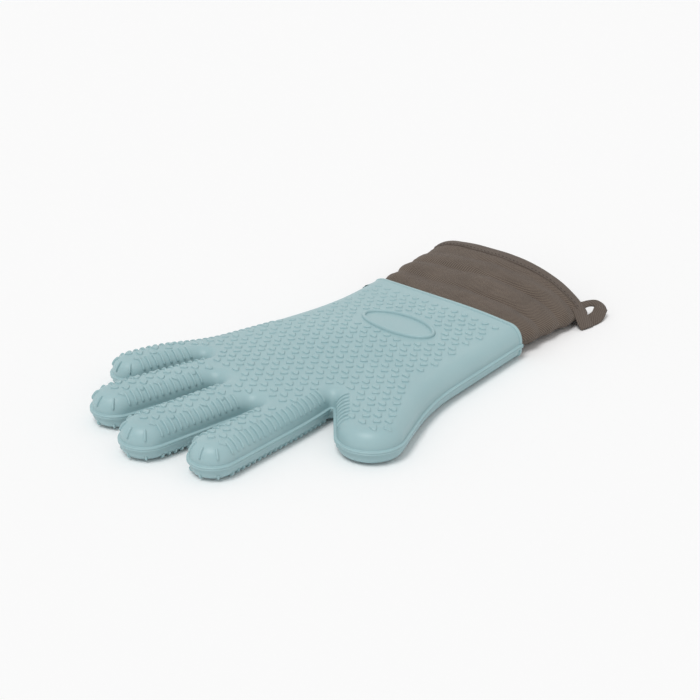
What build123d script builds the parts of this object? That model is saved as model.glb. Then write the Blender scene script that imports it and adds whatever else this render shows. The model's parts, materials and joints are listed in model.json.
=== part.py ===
from build123d import *
import math
import os

# Five-fingered silicone oven glove with a padded twill cuff. Millimetres.
# X runs from the fingertips to the cuff, Y across the hand with the thumb at -Y, Z up.
# While it is modelled, Z = 0 is the parting plane between the two silicone halves.

# Hand outline: a belt drawn round circles (x, y, radius), from the thumb side of the wrist to the far side.
# A positive radius is a rounded tip or a full side, a negative one is a hollow such as a crotch.
THUMB_SIDE = (63.8, -223.7, -165.6)
THUMB_TIP = (-57.4, -80.4, 16.4)
THUMB_CROTCH = (-41.9, -36.1, -5.7)
INDEX_SIDE = (-106.4, 73.6, 121.4)
INDEX_TIP = (-132.0, -36.9, 14.0)
INDEX_CROTCH = (-90.2, -13.1, -4.9)
MIDDLE_TIP = (-145.1, 6.6, 14.4)
MIDDLE_CROTCH = (-92.7, 26.2, -4.9)
RING_TIP = (-136.1, 49.2, 14.0)
RING_CROTCH = (-80.0, 62.8, -4.9)
LITTLE_TIP = (-103.3, 80.4, 12.3)
LITTLE_SIDE = (26.2, 305.9, -229.6)
WRIST_X = 101.7
WRIST_THUMB_Y = -46.3
WRIST_LITTLE_Y = 88.2

# Silicone halves
BACK_HEIGHT = 11.5
BACK_SHOULDER = 9.0
PALM_HEIGHT = 8.0
PALM_SHOULDER = 6.5
WALL = 2.0
FLANGE_OUT = 1.6
FLANGE_HALF = 1.1
RIM_WIDTH = 2.6
RIM_OUT = 0.8

# Grip of raised hearts, half of them pointing to the cuff: rows along each finger, one lattice elsewhere
GRIP_HEIGHT = 1.0
GRIP_INSET = 7.1
GRIP_THUMB_INSET = 14.0
GRIP_CLEAR = 3.9
GRIP_SPACE = 6.2
GRIP_ROOT = 1.5
GRIP_PITCH_X = 11.61
GRIP_PITCH_Y = 9.08
GRIP_X = -38.74
GRIP_Y = 19.79
GRIP_END_X = 90.0
HEART_TIP = 2.3
HEART_NOTCH = 1.1
HEART_SIDE = (-0.75, 2.45)
HEART_LOBE = (-2.15, 1.3)
FINGER_GRIPS = [
    (INDEX_TIP, 6.1, 4, -84.0),
    (MIDDLE_TIP, 0.2, 4, -87.0),
    (RING_TIP, -5.4, 4, -76.5),
    (LITTLE_TIP, 1.5, 3, -69.0),
]

# Oval badge frame on the back, left bare inside
BADGE_X = 49.2
BADGE_Y = 10.7
BADGE_LENGTH = 60.6
BADGE_WIDTH = 28.7
BADGE_BEAD = 2.4
BADGE_HEIGHT = 0.9

# Cotton liner inside the hand
LINER = 0.8
LINER_GAP = 0.2

# Padded cuff: flat where it is tucked into the wrist, an arched mouth at the hem
TUCK = 9.0
CUFF_GAP = 0.25
TWILL = 0.8
WADDING = 2.2
CUFF_LINING = 0.6
PLY_GAP = 0.1
HEM_X = 175.0
HEM_THUMB_Y = -32.0
HEM_LITTLE_Y = 105.0
HEM_FOLD = 4.5
INNER_FOLD = 0.5
HEM_CROWN_Y = 36.0
HEM_CROWN_Z = 15.9
HEM_CROWN_RADIUS = 200.0
HEM_SHOULDER = 12.0
HEM_THUMB_SHOULDER_Y = -20.0
HEM_LITTLE_SHOULDER_Y = 92.0
WRIST_CROWN_RADIUS = 5000.0
CROWN_STAND = 0.05
RIPPLES = 4
RIPPLE_HEIGHT = 1.3
RIPPLE_UNDER = 0.3
RIPPLE_STEPS = 3

# Hem binding and hanging loop, both of one folded tape
BINDING_WIDTH = 8.0
BINDING = 1.0
TAPE = 1.6
TAPE_WIDTH = 10.0
TAPE_FOLD = 3.5
LOOP_GAP = 0.3
LOOP_REACH = 21.0
LOOP_DROP = 16.8
LOOP_RISE = 3.0
EYE_TOP = 2.2
EYE_LENGTH = 11.5
EYE_WIDTH = 9.0
EYE_END_WIDTH = 6.3

OVERRUN = 30.0
MARGIN = 1.0
FLOOR_Z = -PALM_HEIGHT - GRIP_HEIGHT
CUFF_LAYERS = TWILL + WADDING + CUFF_LINING
BINDING_X = HEM_X - BINDING_WIDTH


def hand_circles(inset):
    """Circles that the hand's outline runs round, drawn in by inset."""
    circles = [
        (WRIST_X, WRIST_THUMB_Y, 0.0),
        THUMB_SIDE,
        THUMB_TIP,
        THUMB_CROTCH,
        INDEX_SIDE,
        INDEX_TIP,
        INDEX_CROTCH,
        MIDDLE_TIP,
        MIDDLE_CROTCH,
        RING_TIP,
        RING_CROTCH,
        LITTLE_TIP,
        LITTLE_SIDE,
        (WRIST_X, WRIST_LITTLE_Y, 0.0),
    ]
    return [(x, y, radius - inset) for x, y, radius in circles]


def run_heading(circle, following):
    """Heading of the straight run that leaves one circle and touches the next, both on its right."""
    x1, y1, r1 = circle
    x2, y2, r2 = following
    along = math.atan2(y2 - y1, x2 - x1)
    return along - math.asin((r1 - r2) / math.hypot(x2 - x1, y2 - y1))


def on_circle(circle, heading):
    """Point where a run with this heading touches the circle."""
    x, y, radius = circle
    return x - radius * math.sin(heading), y + radius * math.cos(heading)


def round_circle(circle, arrive, leave):
    """Arc round a circle, from the run that arrives to the run that leaves."""
    turn = (arrive - leave) % (2 * math.pi)
    if circle[2] < 0:
        turn -= 2 * math.pi
    middle = on_circle(circle, arrive - turn / 2)
    return ThreePointArc(on_circle(circle, arrive), middle, on_circle(circle, leave))


def outline(inset):
    """Face of the hand, drawn in by inset and run on past the wrist."""
    circles = hand_circles(inset)
    headings = [run_heading(*pair) for pair in zip(circles, circles[1:])]
    arcs = [round_circle(*stop) for stop in zip(circles[1:-1], headings, headings[1:])]
    x, y = on_circle(circles[0], headings[0])
    start = (x - OVERRUN * math.cos(headings[0]), y - OVERRUN * math.sin(headings[0]))
    x, y = on_circle(circles[-1], headings[-1])
    end = (x + OVERRUN * math.cos(headings[-1]), y + OVERRUN * math.sin(headings[-1]))
    edges = [Line(start, arcs[0] @ 0)]
    for arc, following in zip(arcs, arcs[1:]):
        edges += [arc, Line(arc @ 1, following @ 0)]
    edges += [arcs[-1], Line(arcs[-1] @ 1, end), Line(end, start)]
    return make_face(edges)


def side_y(x, inset):
    """Y of the thumb side and of the little-finger side near the wrist."""
    circles = hand_circles(inset)
    found = []
    for pair, end in ((circles[:2], circles[0]), (circles[-2:], circles[-1])):
        heading = run_heading(*pair)
        px, py = on_circle(end, heading)
        found.append(py + (x - px) * math.tan(heading))
    return found


def slab(x_low, x_high):
    """Block wide enough to clip the hand between two X planes."""
    reach = 4 * OVERRUN + abs(THUMB_TIP[1]) + abs(LITTLE_TIP[1])
    middle = (x_low + x_high) / 2
    return Pos(middle, 0, 0) * Box(x_high - x_low, 2 * reach, 2 * reach)


def half_form(inset, height, shoulder):
    """One half of the hand, drawn in by inset, with its rounded shoulder, run on past the wrist."""
    block = extrude(outline(inset), height - inset)
    top = block.faces().sort_by(Axis.Z)[-1]
    edges = top.edges().sort_by(Axis.X)[:-1]
    return fillet(edges, shoulder - inset)


def hand_only(shape):
    """The part of a shape on the finger side of the wrist."""
    return shape & slab(MIDDLE_TIP[0] - 2 * OVERRUN, WRIST_X)


def badge_frame():
    """Raised oval bead on the back."""
    outer = Ellipse(BADGE_WIDTH / 2, BADGE_LENGTH / 2)
    inner = Ellipse(BADGE_WIDTH / 2 - BADGE_BEAD, BADGE_LENGTH / 2 - BADGE_BEAD)
    bead = extrude(outer - inner, BADGE_HEIGHT + WALL / 2)
    return Pos(BADGE_X, BADGE_Y, BACK_HEIGHT - WALL / 2) * bead


def heart():
    """Heart of straight sides, its tip towards +X."""
    near = [(HEART_TIP, 0), HEART_SIDE, HEART_LOBE, (-HEART_NOTCH, 0)]
    far = [(x, -y) for x, y in (HEART_LOBE, HEART_SIDE)]
    return make_face(Polyline(*near, *far, close=True))


def lattice(columns, rows):
    """Places on a staggered lattice; hearts in even rows point to the fingertips, the rest to the cuff."""
    places = []
    for row in rows:
        odd = row % 2
        for column in columns:
            spot = Pos((column + odd / 2) * GRIP_PITCH_X, row * GRIP_PITCH_Y / 2, 0)
            places.append(spot * Rot(0, 0, 0 if odd else 180))
    return places


def finger_places():
    """Hearts in rows along the fingers."""
    places = []
    for tip, turn, rows, end in FINGER_GRIPS:
        columns = range(math.ceil((end - tip[0]) / GRIP_PITCH_X) + 1)
        first_row = Pos(0, (1 - rows) * GRIP_PITCH_Y / 4, 0)
        finger = Pos(tip[0], tip[1], 0) * Rot(0, 0, turn) * first_row
        along = [finger * spot for spot in lattice(columns, range(rows))]
        places += [place for place in along if place.position.X < end]
    return places


def palm_places():
    """Hearts over the palm and the thumb, up to where the fingers' rows end."""
    reach = math.ceil((WRIST_X - MIDDLE_TIP[0]) / GRIP_PITCH_Y)
    places = []
    for spot in lattice(range(-reach, reach), range(-2 * reach, 2 * reach)):
        place = Pos(GRIP_X, GRIP_Y, 0) * spot
        x, y, z = place.position
        end = min(FINGER_GRIPS, key=lambda finger: abs(finger[0][1] - y))[-1]
        off_thumb_side = math.hypot(x - THUMB_SIDE[0], y - THUMB_SIDE[1]) + THUMB_SIDE[2]
        if end <= x <= GRIP_END_X and off_thumb_side > GRIP_THUMB_INSET:
            places.append(place)
    return places


def grip_places(badged):
    """Hearts that lie within the hand, clear of each other and of the badge."""
    field = outline(GRIP_INSET)
    if badged:
        field -= Pos(BADGE_X, BADGE_Y) * Ellipse(BADGE_WIDTH / 2 + GRIP_CLEAR, BADGE_LENGTH / 2 + GRIP_CLEAR)
    within = field.face()
    fingers = [place for place in finger_places() if within.is_inside(place.position)]
    palm = []
    for place in palm_places():
        nearest = min((finger.position - place.position).length for finger in fingers)
        if nearest > GRIP_SPACE and within.is_inside(place.position):
            palm.append(place)
    return fingers + palm


def grip(height, badged):
    """Raised hearts, rooted in the wall."""
    root = Pos(0, 0, height - GRIP_ROOT) * extrude(heart(), GRIP_ROOT + GRIP_HEIGHT)
    return [place * root for place in grip_places(badged)]


def silicone_half(height, shoulder, badged):
    """Moulded half shell on one side of the parting plane, with its flange lip, wrist bead and grip."""
    body = half_form(0, height, shoulder) + extrude(outline(-FLANGE_OUT), FLANGE_HALF)
    rim = half_form(-RIM_OUT, height, shoulder) & slab(WRIST_X - RIM_WIDTH, WRIST_X)
    shell = hand_only(body) + rim - half_form(WALL, height, shoulder)
    return shell + grip(height, badged)


def liner_half(height, shoulder):
    """Cotton lining of one half, following the inside of the silicone."""
    outer = half_form(WALL + LINER_GAP, height, shoulder)
    inner = half_form(WALL + LINER_GAP + LINER, height, shoulder)
    reach = slab(MIDDLE_TIP[0] - 2 * OVERRUN, WRIST_X - TUCK - LINER_GAP)
    return (outer - inner) & reach


def mix(low, high, share):
    return low + (high - low) * share


def wrist_circles(x):
    """Circles of the cuff's section inside the silicone wrist: two folds, two shoulders and a flat crown."""
    thumb_y, little_y = side_y(x, WALL + CUFF_GAP)
    top = BACK_HEIGHT - WALL - CUFF_GAP
    low = -PALM_HEIGHT + WALL + CUFF_GAP
    shoulder = BACK_SHOULDER - WALL - CUFF_GAP
    fold = PALM_SHOULDER - WALL - CUFF_GAP
    crown_z = top + 2 * CROWN_STAND - WRIST_CROWN_RADIUS
    return [
        (thumb_y + fold, low + fold, fold),
        (thumb_y + shoulder, top - shoulder, shoulder),
        ((thumb_y + little_y) / 2, crown_z, WRIST_CROWN_RADIUS),
        (little_y - shoulder, top - shoulder, shoulder),
        (little_y - fold, low + fold, fold),
    ]


def hem_circles():
    """Circles of the cuff's section at the hem: folds on the table, shoulders let into an arched crown."""
    low = FLOOR_Z + BINDING
    crown_z = HEM_CROWN_Z - HEM_CROWN_RADIUS
    shoulders = []
    for y in (HEM_THUMB_SHOULDER_Y, HEM_LITTLE_SHOULDER_Y):
        lean = math.asin((y - HEM_CROWN_Y) / HEM_CROWN_RADIUS)
        reach = HEM_CROWN_RADIUS - HEM_SHOULDER + CROWN_STAND
        centre = (HEM_CROWN_Y + reach * math.sin(lean), crown_z + reach * math.cos(lean))
        shoulders.append((*centre, HEM_SHOULDER))
    return [
        (HEM_THUMB_Y + HEM_FOLD, low + HEM_FOLD, HEM_FOLD),
        shoulders[0],
        (HEM_CROWN_Y, crown_z, HEM_CROWN_RADIUS),
        shoulders[1],
        (HEM_LITTLE_Y - HEM_FOLD, low + HEM_FOLD, HEM_FOLD),
    ]


def crown_mix(wrist, hem, share):
    """Crown circle part of the way to the hem, by its bend and its highest point."""
    bend = mix(1 / wrist[2], 1 / hem[2], share)
    top = mix(wrist[1] + wrist[2], hem[1] + hem[2], share)
    return mix(wrist[0], hem[0], share), top - 1 / bend, 1 / bend


def cuff_section(x, inset, swell):
    """Cross-section of the cuff at x, drawn in by inset and swollen by a ripple."""
    share = min(max((x - WRIST_X) / (BINDING_X - WRIST_X), 0.0), 1.0)
    wrist = wrist_circles(min(x, WRIST_X))
    hem = hem_circles()
    lift = swell * (1 - RIPPLE_UNDER / RIPPLE_HEIGHT)
    circles = []
    for place, (first, last) in enumerate(zip(wrist, hem)):
        y, z, radius = [mix(a, b, share) for a, b in zip(first, last)]
        if place == 2:
            y, z, radius = crown_mix(first, last, share)
        radius += swell - inset
        if place in (0, 4):
            tight = max(INNER_FOLD - radius, 0.0)
            y += tight if place == 0 else -tight
            z += lift + tight
            radius += tight
        circles.append((y, z, radius))
    ring = circles + circles[:1]
    headings = [run_heading(*pair) for pair in zip(ring, ring[1:])]
    arcs = []
    for circle, arrive, leave in zip(circles, headings[-1:] + headings, headings):
        arcs.append(round_circle(circle, arrive, leave))
    edges = []
    for arc, following in zip(arcs, arcs[1:] + arcs[:1]):
        edges += [arc, Line(arc @ 1, following @ 0)]
    return Plane.YZ.offset(x) * make_face(edges)


def cuff_form(inset, rippled, extra):
    """Solid of the cuff drawn in by inset, run on by extra at both ends."""
    steps = RIPPLES * RIPPLE_STEPS if rippled else 1
    stations = [(WRIST_X - TUCK, 0.0)]
    for step in range(steps + 1):
        share = step / steps
        wave = math.sin(math.pi * RIPPLES * share) ** 2 if rippled else 0.0
        stations.append((mix(WRIST_X, BINDING_X, share), RIPPLE_HEIGHT * wave))
    stations.append((HEM_X, 0.0))
    sections = [cuff_section(x, inset, swell) for x, swell in stations]
    if extra:
        sections.insert(0, Pos(-extra, 0, 0) * sections[0])
        sections.append(Pos(extra, 0, 0) * sections[-1])
    return loft(sections, ruled=True)


def above_side_seam():
    """Block above the cuff's side seams, which sink with the cuff towards the table."""
    hem_z = FLOOR_Z + BINDING + HEM_FOLD
    high_z = HEM_CROWN_Z + OVERRUN
    profile = Polyline(
        (WRIST_X - TUCK - OVERRUN, 0),
        (WRIST_X, 0),
        (BINDING_X, hem_z),
        (HEM_X + OVERRUN, hem_z),
        (HEM_X + OVERRUN, high_z),
        (WRIST_X - TUCK - OVERRUN, high_z),
        close=True,
    )
    width = 2 * (abs(HEM_LITTLE_Y) + abs(HEM_THUMB_Y) + OVERRUN)
    return extrude(Plane.XZ * make_face(profile), width / 2, both=True)


def hem_binding():
    """Tape folded over the hem, outside and inside."""
    span = BINDING_WIDTH + BINDING
    before = Pos(-MARGIN, 0, 0)
    outer = extrude(cuff_section(BINDING_X, -BINDING, 0), span)
    mouth = extrude(before * cuff_section(BINDING_X, CUFF_LAYERS + BINDING, 0), span + 2 * MARGIN)
    wrapped = extrude(before * cuff_section(BINDING_X, 0, 0), BINDING_WIDTH + MARGIN)
    inside = extrude(before * cuff_section(BINDING_X, CUFF_LAYERS, 0), BINDING_WIDTH + MARGIN)
    return outer - mouth - (wrapped - inside)


def loop_slope():
    """Slope of the hem's thumb side, between its fold and its shoulder, in degrees."""
    fold, shoulder = hem_circles()[:2]
    return math.degrees(run_heading(fold, shoulder))


def loop_hinge():
    """Point on the loop's swing axis, just off the binding and a little way up the hem's thumb side."""
    y, z, fold = hem_circles()[0]
    slope = math.radians(loop_slope())
    out = fold + BINDING + LOOP_GAP + TAPE / 2
    y += LOOP_RISE * math.cos(slope) - out * math.sin(slope)
    z += LOOP_RISE * math.sin(slope) + out * math.cos(slope)
    return HEM_X + BINDING, y, z


def hanging_loop():
    """Tape folded back on itself round a small eye, flat, sloping down to the table."""
    ring = Polyline(
        (-TAPE_WIDTH, 0),
        (-TAPE_WIDTH, -LOOP_DROP + TAPE_FOLD),
        (-TAPE_WIDTH + TAPE_FOLD, -LOOP_DROP),
        (0, -LOOP_DROP),
        (LOOP_REACH - TAPE_FOLD, -LOOP_DROP + TAPE_FOLD),
        (LOOP_REACH, -LOOP_DROP + 2 * TAPE_FOLD),
        (LOOP_REACH, -EYE_TOP - TAPE),
        (LOOP_REACH - TAPE_FOLD, -TAPE),
        (0, 0),
        close=True,
    )
    drop = (EYE_WIDTH - EYE_END_WIDTH) / 2
    eye = Polyline(
        (0, -EYE_TOP),
        (0, -EYE_TOP - EYE_WIDTH),
        (EYE_LENGTH, -EYE_TOP - EYE_WIDTH + drop),
        (EYE_LENGTH, -EYE_TOP - drop),
        close=True,
    )
    tape = extrude(make_face(ring) - make_face(eye), TAPE / 2, both=True)
    root = Pos(-TAPE_WIDTH / 2, 0, 0) * Rot(0, 90, 0) * Cylinder(TAPE / 2, TAPE_WIDTH)
    return Pos(*loop_hinge()) * Rot(loop_slope(), 0, 0) * (tape + root)


def build():
    """All pieces, by name, in the hand's own frame."""
    back = (BACK_HEIGHT, BACK_SHOULDER)
    palm = (PALM_HEIGHT, PALM_SHOULDER)
    under_twill = TWILL + PLY_GAP
    under_wadding = TWILL + WADDING
    twill = cuff_form(0, True, 0) - cuff_form(TWILL, True, MARGIN)
    wadding = cuff_form(under_twill, True, 0) - cuff_form(under_wadding - PLY_GAP, False, MARGIN)
    lining = cuff_form(under_wadding, False, 0) - cuff_form(CUFF_LAYERS, False, MARGIN)
    above = above_side_seam()
    return {
        "silicone_back_half": silicone_half(*back, True) + badge_frame(),
        "silicone_palm_half": mirror(silicone_half(*palm, False), Plane.XY),
        "liner_back_panel": liner_half(*back),
        "liner_palm_panel": mirror(liner_half(*palm), Plane.XY),
        "cuff_back_panel": twill & above,
        "cuff_palm_panel": twill - above,
        "cuff_back_wadding": wadding & above,
        "cuff_palm_wadding": wadding - above,
        "cuff_back_lining": lining & above,
        "cuff_palm_lining": lining - above,
        "hem_binding": hem_binding(),
        "hanging_loop": hanging_loop(),
    }


pieces = build()
whole = Compound(children=[Compound(children=list(piece.solids())) for piece in pieces.values()])
box = whole.bounding_box()
to_footprint = Pos(-box.center().X, -box.center().Y, -box.min.Z)
os.makedirs("parts", exist_ok=True)
for name, piece in pieces.items():
    export_step(to_footprint * piece, f"parts/{name}.step")
print("size", box.size)
print("shift", to_footprint.position)
print("loop hinge", [round(a + b, 3) for a, b in zip(loop_hinge(), to_footprint.position)])
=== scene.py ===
import json
import math

import bmesh
import bpy
import numpy as np
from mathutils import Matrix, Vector, noise
from mathutils.geometry import delaunay_2d_cdt


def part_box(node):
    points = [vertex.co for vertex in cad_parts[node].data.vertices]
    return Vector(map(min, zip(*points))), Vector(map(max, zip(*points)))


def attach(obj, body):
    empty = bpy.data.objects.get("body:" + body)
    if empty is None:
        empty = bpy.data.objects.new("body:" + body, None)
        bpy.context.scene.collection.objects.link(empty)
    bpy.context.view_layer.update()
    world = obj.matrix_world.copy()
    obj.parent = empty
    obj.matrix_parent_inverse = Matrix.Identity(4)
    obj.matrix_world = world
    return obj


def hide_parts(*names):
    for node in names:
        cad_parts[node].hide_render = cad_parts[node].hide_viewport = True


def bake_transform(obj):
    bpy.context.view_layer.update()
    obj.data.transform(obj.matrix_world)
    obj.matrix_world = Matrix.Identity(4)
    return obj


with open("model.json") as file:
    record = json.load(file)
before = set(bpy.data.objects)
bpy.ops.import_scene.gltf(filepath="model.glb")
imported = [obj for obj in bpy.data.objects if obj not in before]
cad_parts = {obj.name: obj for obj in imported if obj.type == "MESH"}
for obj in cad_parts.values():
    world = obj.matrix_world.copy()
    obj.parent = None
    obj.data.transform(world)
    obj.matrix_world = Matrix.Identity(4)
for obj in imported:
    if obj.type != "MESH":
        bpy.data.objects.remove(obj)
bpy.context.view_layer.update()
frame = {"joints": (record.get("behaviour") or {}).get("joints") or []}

# Sizes in millimetres, in the glove's own frame: X to the cuff, Y to the little finger,
# Z = 0 on the parting plane. The hand's outline is a belt round circles given as (x, y, radius), and hollow
# where the radius is below 0.
THUMB_SIDE = (63.8, -223.7, -165.6)
THUMB_TIP = (-49.9, -75.5, 19.4)
THUMB_CROTCH = (-46.3, -37.0, -2.6)
INDEX_SIDE = (-126.2, 254.9, 300.0)
INDEX_TIP = (-130.4, -36.5, 13.4)
INDEX_CROTCH = (-87.2, -13.1, -4.9)
MIDDLE_TIP = (-145.1, 6.6, 14.4)
MIDDLE_CROTCH = (-84.7, 25.2, -4.9)
RING_TIP = (-136.1, 49.2, 14.0)
RING_CROTCH = (-68.0, 59.3, -4.5)
LITTLE_TIP = (-103.3, 80.4, 12.3)
LITTLE_SIDE = (26.2, 305.9, -229.6)
WRIST_X = 101.7
WRIST_THUMB_Y = -46.3
WRIST_LITTLE_Y = 88.2
CIRCLES = [(WRIST_X, WRIST_THUMB_Y, 0.0), THUMB_SIDE, THUMB_TIP, THUMB_CROTCH, INDEX_SIDE, INDEX_TIP,
           INDEX_CROTCH, MIDDLE_TIP, MIDDLE_CROTCH, RING_TIP, RING_CROTCH, LITTLE_TIP, LITTLE_SIDE,
           (WRIST_X, WRIST_LITTLE_Y, 0.0)]
LINE_STEP = 0.8
ARC_TURN = 0.12
BACK_HEIGHT, BACK_SHOULDER = 11.5, 9.0
PALM_HEIGHT, PALM_SHOULDER = 8.0, 4.6
SHOULDER_STEPS = 10
WALL = 2.0
FLANGE_OUT, FLANGE_HALF, FLANGE_FILLET = 1.6, 1.1, 0.42
# The shells are drawn past the wrist by the overrun and cut off at the wrist, where their edge turns in and
# back as a lip. Near the wrist's two corners the lip turns towards the middle more than down.
OVERRUN = 6.0
WRIST_LIP = 14.0
WRIST_CORNER, WRIST_CORNER_FALL = 12.0, 0.3
RIM_WIDTH, RIM_OUT = 2.6, 0.8
GRIP_HEIGHT = 0.85
# Badge: middle, half width along X and half length along Y of the oval bead's outer edge
BADGE = (49.2, 10.7, 14.35, 30.3)
BADGE_BEAD, BADGE_HEIGHT, BADGE_SIDES = 2.6, 2.0, 120
BEAD_STEPS, BEAD_ROUND, BEAD_SINK = 8, 0.8, 0.05
LINER_GAP, LINER_BASE = 2.3, 0.4
LINER_STEP, LINER_GRID = 2.5, 6.0
LINER_BACK = 5.0
TUCK = 9.0
HEM_X = 175.0
BINDING_WIDTH = 8.6

# Sag of the empty back. It grows in Y from a line that moves towards the thumb at the wrist, sets in softly,
# is a little less steep at the wrist and almost gone along the fingers. Each end has the X at which it starts
# to differ and the run over which it does. What stands above the back sinks at most by the last share.
SAG_START, SAG_START_WRIST = 30, -10
SAG_SLOPE, SAG_SLOPE_WRIST_LOSS, SAG_FINGER_LOSS = 0.115, 0.04, 0.92
SAG_SOFTNESS = 9.0
SAG_WRIST, SAG_WRIST_RUN = 5, 95
SAG_FINGER, SAG_FINGER_RUN = -35, 55
SAG_FULL = 1.2

# The frame's solid places this frame: its wrist edge, its thumb's flange and the parting plane.
SOLID_THUMB_Y = -98.4
MM = 0.001
PER_METRE = 1000
low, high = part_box("silicone_back_half")
ORIGIN = np.array([high.x * PER_METRE - WRIST_X, low.y * PER_METRE - SOLID_THUMB_Y, low.z * PER_METRE])
TABLE_Z = -ORIGIN[2]


def above_table(z, gap):
    return np.maximum(z, TABLE_Z + gap)


def heading(a, b):
    """Direction of the straight run that touches circle a and then circle b."""
    dx, dy = b[0] - a[0], b[1] - a[1]
    return math.atan2(dy, dx) - math.asin((a[2] - b[2]) / math.hypot(dx, dy))


def belt(circles, step, overrun=0.0):
    """Points and outward normals of the line round the circles, and each arc's first and last point."""
    headings = [heading(a, b) for a, b in zip(circles, circles[1:])]
    rows, arcs = [], []

    def add(x, y, h):
        rows.append((x, y, -math.sin(h), math.cos(h)))

    def touch(circle, h):
        return circle[0] - circle[2] * math.sin(h), circle[1] + circle[2] * math.cos(h)

    h = headings[0]
    x, y = touch(circles[0], h)
    if overrun:
        add(x - overrun * math.cos(h), y - overrun * math.sin(h), h)
    add(x, y, h)
    for i in range(1, len(circles)):
        x, y, r = circles[i]
        h = headings[i - 1]
        px, py = rows[-1][:2]
        qx, qy = touch(circles[i], h)
        n = max(1, round(math.hypot(qx - px, qy - py) / step))
        for k in range(1, n + 1):
            add(px + (qx - px) * k / n, py + (qy - py) * k / n, h)
        first = len(rows) - 1
        if i < len(circles) - 1:
            turn = (h - headings[i]) % (2 * math.pi)
            if r < 0:
                turn -= 2 * math.pi
            n = max(2, round(abs(r * turn) / step), round(abs(turn) / ARC_TURN))
            for k in range(1, n + 1):
                t = h - turn * k / n
                add(x - r * math.sin(t), y + r * math.cos(t), t)
        arcs.append((first, len(rows) - 1))
    h = headings[-1]
    if overrun:
        x, y = touch(circles[-1], h)
        add(x + overrun * math.cos(h), y + overrun * math.sin(h), h)
    return np.array(rows), arcs


def inset(circles, amount):
    return [(x, y, r - amount) for x, y, r in circles]


LINE, ARCS = belt(CIRCLES, LINE_STEP)
STATION = np.concatenate([[0], np.cumsum(np.hypot(*np.diff(LINE[:, :2], axis=0).T))])


def at_station(s):
    """Point and outward normal at a length along the outline."""
    row = [np.interp(s, STATION, LINE[:, k]) for k in range(4)]
    size = math.hypot(row[2], row[3])
    return row[0], row[1], row[2] / size, row[3] / size


def depth(x, y):
    """Distance from the outline, for points inside it, worked out a batch at a time."""
    batch = 4000
    a, b = LINE[:-1, :2], LINE[1:, :2]
    d = b - a
    size = (d ** 2).sum(1)
    p = np.stack([x, y], 1)
    out = np.empty(len(p))
    for k in range(0, len(p), batch):
        q = p[k:k + batch, None, :]
        t = np.clip(((q - a) * d).sum(2) / size, 0, 1)
        out[k:k + batch] = np.sqrt((((a + t[..., None] * d) - q) ** 2).sum(2).min(1))
    return out


def inside(ring, x, y):
    """Which of the points lie inside a closed line."""
    out = np.zeros(len(x), bool)
    for (x1, y1), (x2, y2) in zip(ring, np.roll(ring, -1, 0)):
        crosses = (y1 > y) != (y2 > y)
        out ^= crosses & (x < (x2 - x1) * (y - y1) / (y2 - y1 + 1e-12) + x1)
    return out


def smooth(t):
    t = np.clip(t, 0, 1)
    return t * t * (3 - 2 * t)


def sag(x, y):
    """How far the empty back sinks towards the little finger's side."""
    wrist = smooth((x - SAG_WRIST) / SAG_WRIST_RUN)
    finger = smooth((SAG_FINGER - x) / SAG_FINGER_RUN)
    start = SAG_START + (SAG_START_WRIST - SAG_START) * wrist
    slope = (SAG_SLOPE - SAG_SLOPE_WRIST_LOSS * wrist) * (1 - SAG_FINGER_LOSS * finger)
    return slope * SAG_SOFTNESS * np.logaddexp(0, (y - start) / SAG_SOFTNESS)


def settle(x, y, z):
    """Height on the lying glove of a point of the moulded shape."""
    return np.where(z > 0, z - sag(x, y) * np.clip(z / BACK_HEIGHT, 0, SAG_FULL), z)


def shoulder_height(d, height, shoulder):
    """Height of a half's skin at a distance from its outline."""
    d = np.clip(d, 0, shoulder)
    return height - shoulder + np.sqrt(np.maximum(shoulder ** 2 - (shoulder - d) ** 2, 0))


class Build:
    """Gathers the points and faces of one piece."""

    def __init__(self):
        self.points, self.faces = [], []

    def count(self):
        return sum(len(p) for p in self.points)

    def add(self, points, faces):
        n = self.count()
        self.points.append(np.asarray(points, float))
        self.faces.extend([tuple(int(i) + n for i in f) for f in faces])

    def grid(self, points, closed=False, flip=False):
        """A sheet through rows of points."""
        rows, cols = points.shape[:2]
        faces = []
        for j in range(rows - 1):
            for i in range(cols if closed else cols - 1):
                k = (i + 1) % cols
                f = (j * cols + i, j * cols + k, (j + 1) * cols + k, (j + 1) * cols + i)
                faces.append(f[::-1] if flip else f)
        self.add(points.reshape(-1, 3), faces)

    def all(self):
        return np.concatenate(self.points), self.faces


def piece(name, points, faces, material, body, uv=None):
    """A named piece in the shared frame; uv gives each point its place on the cloth."""
    mesh = bpy.data.meshes.new(name)
    mesh.from_pydata(((points + ORIGIN) * MM).tolist(), [], faces)
    if uv is not None:
        layer = mesh.uv_layers.new(name="cloth")
        index = np.empty(len(mesh.loops), int)
        mesh.loops.foreach_get("vertex_index", index)
        layer.data.foreach_set("uv", (uv[index] * MM).astype(np.float32).ravel())
    mesh.polygons.foreach_set("use_smooth", [True] * len(mesh.polygons))
    mesh.update()
    obj = bpy.data.objects.new(name, mesh)
    bpy.context.scene.collection.objects.link(obj)
    mesh.materials.append(material)
    if body:
        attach(obj, body)
    return obj


# Materials, with sizes in metres. A wave texture of this scale has bands one unit apart along X.
WAVE_SCALE = 0.314
# Weave: pitch of the weft and waver of the yarns as shares of the pitch, and weights of the weft and of wear
WEFT_PITCH, YARN_WAVER = 0.55, 0.35
WEFT_WEIGHT, WEAR_WEIGHT, SHADE_SCALE = 0.9, 0.6, 0.5


def new_material(name, sockets):
    """A material, its nodes, and its shader with plain values on the sockets named."""
    m = bpy.data.materials.new(name)
    m.use_nodes = True
    shader = m.node_tree.nodes["Principled BSDF"]
    for socket, value in sockets.items():
        shader.inputs[socket].default_value = value
    return m, m.node_tree, shader


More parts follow.
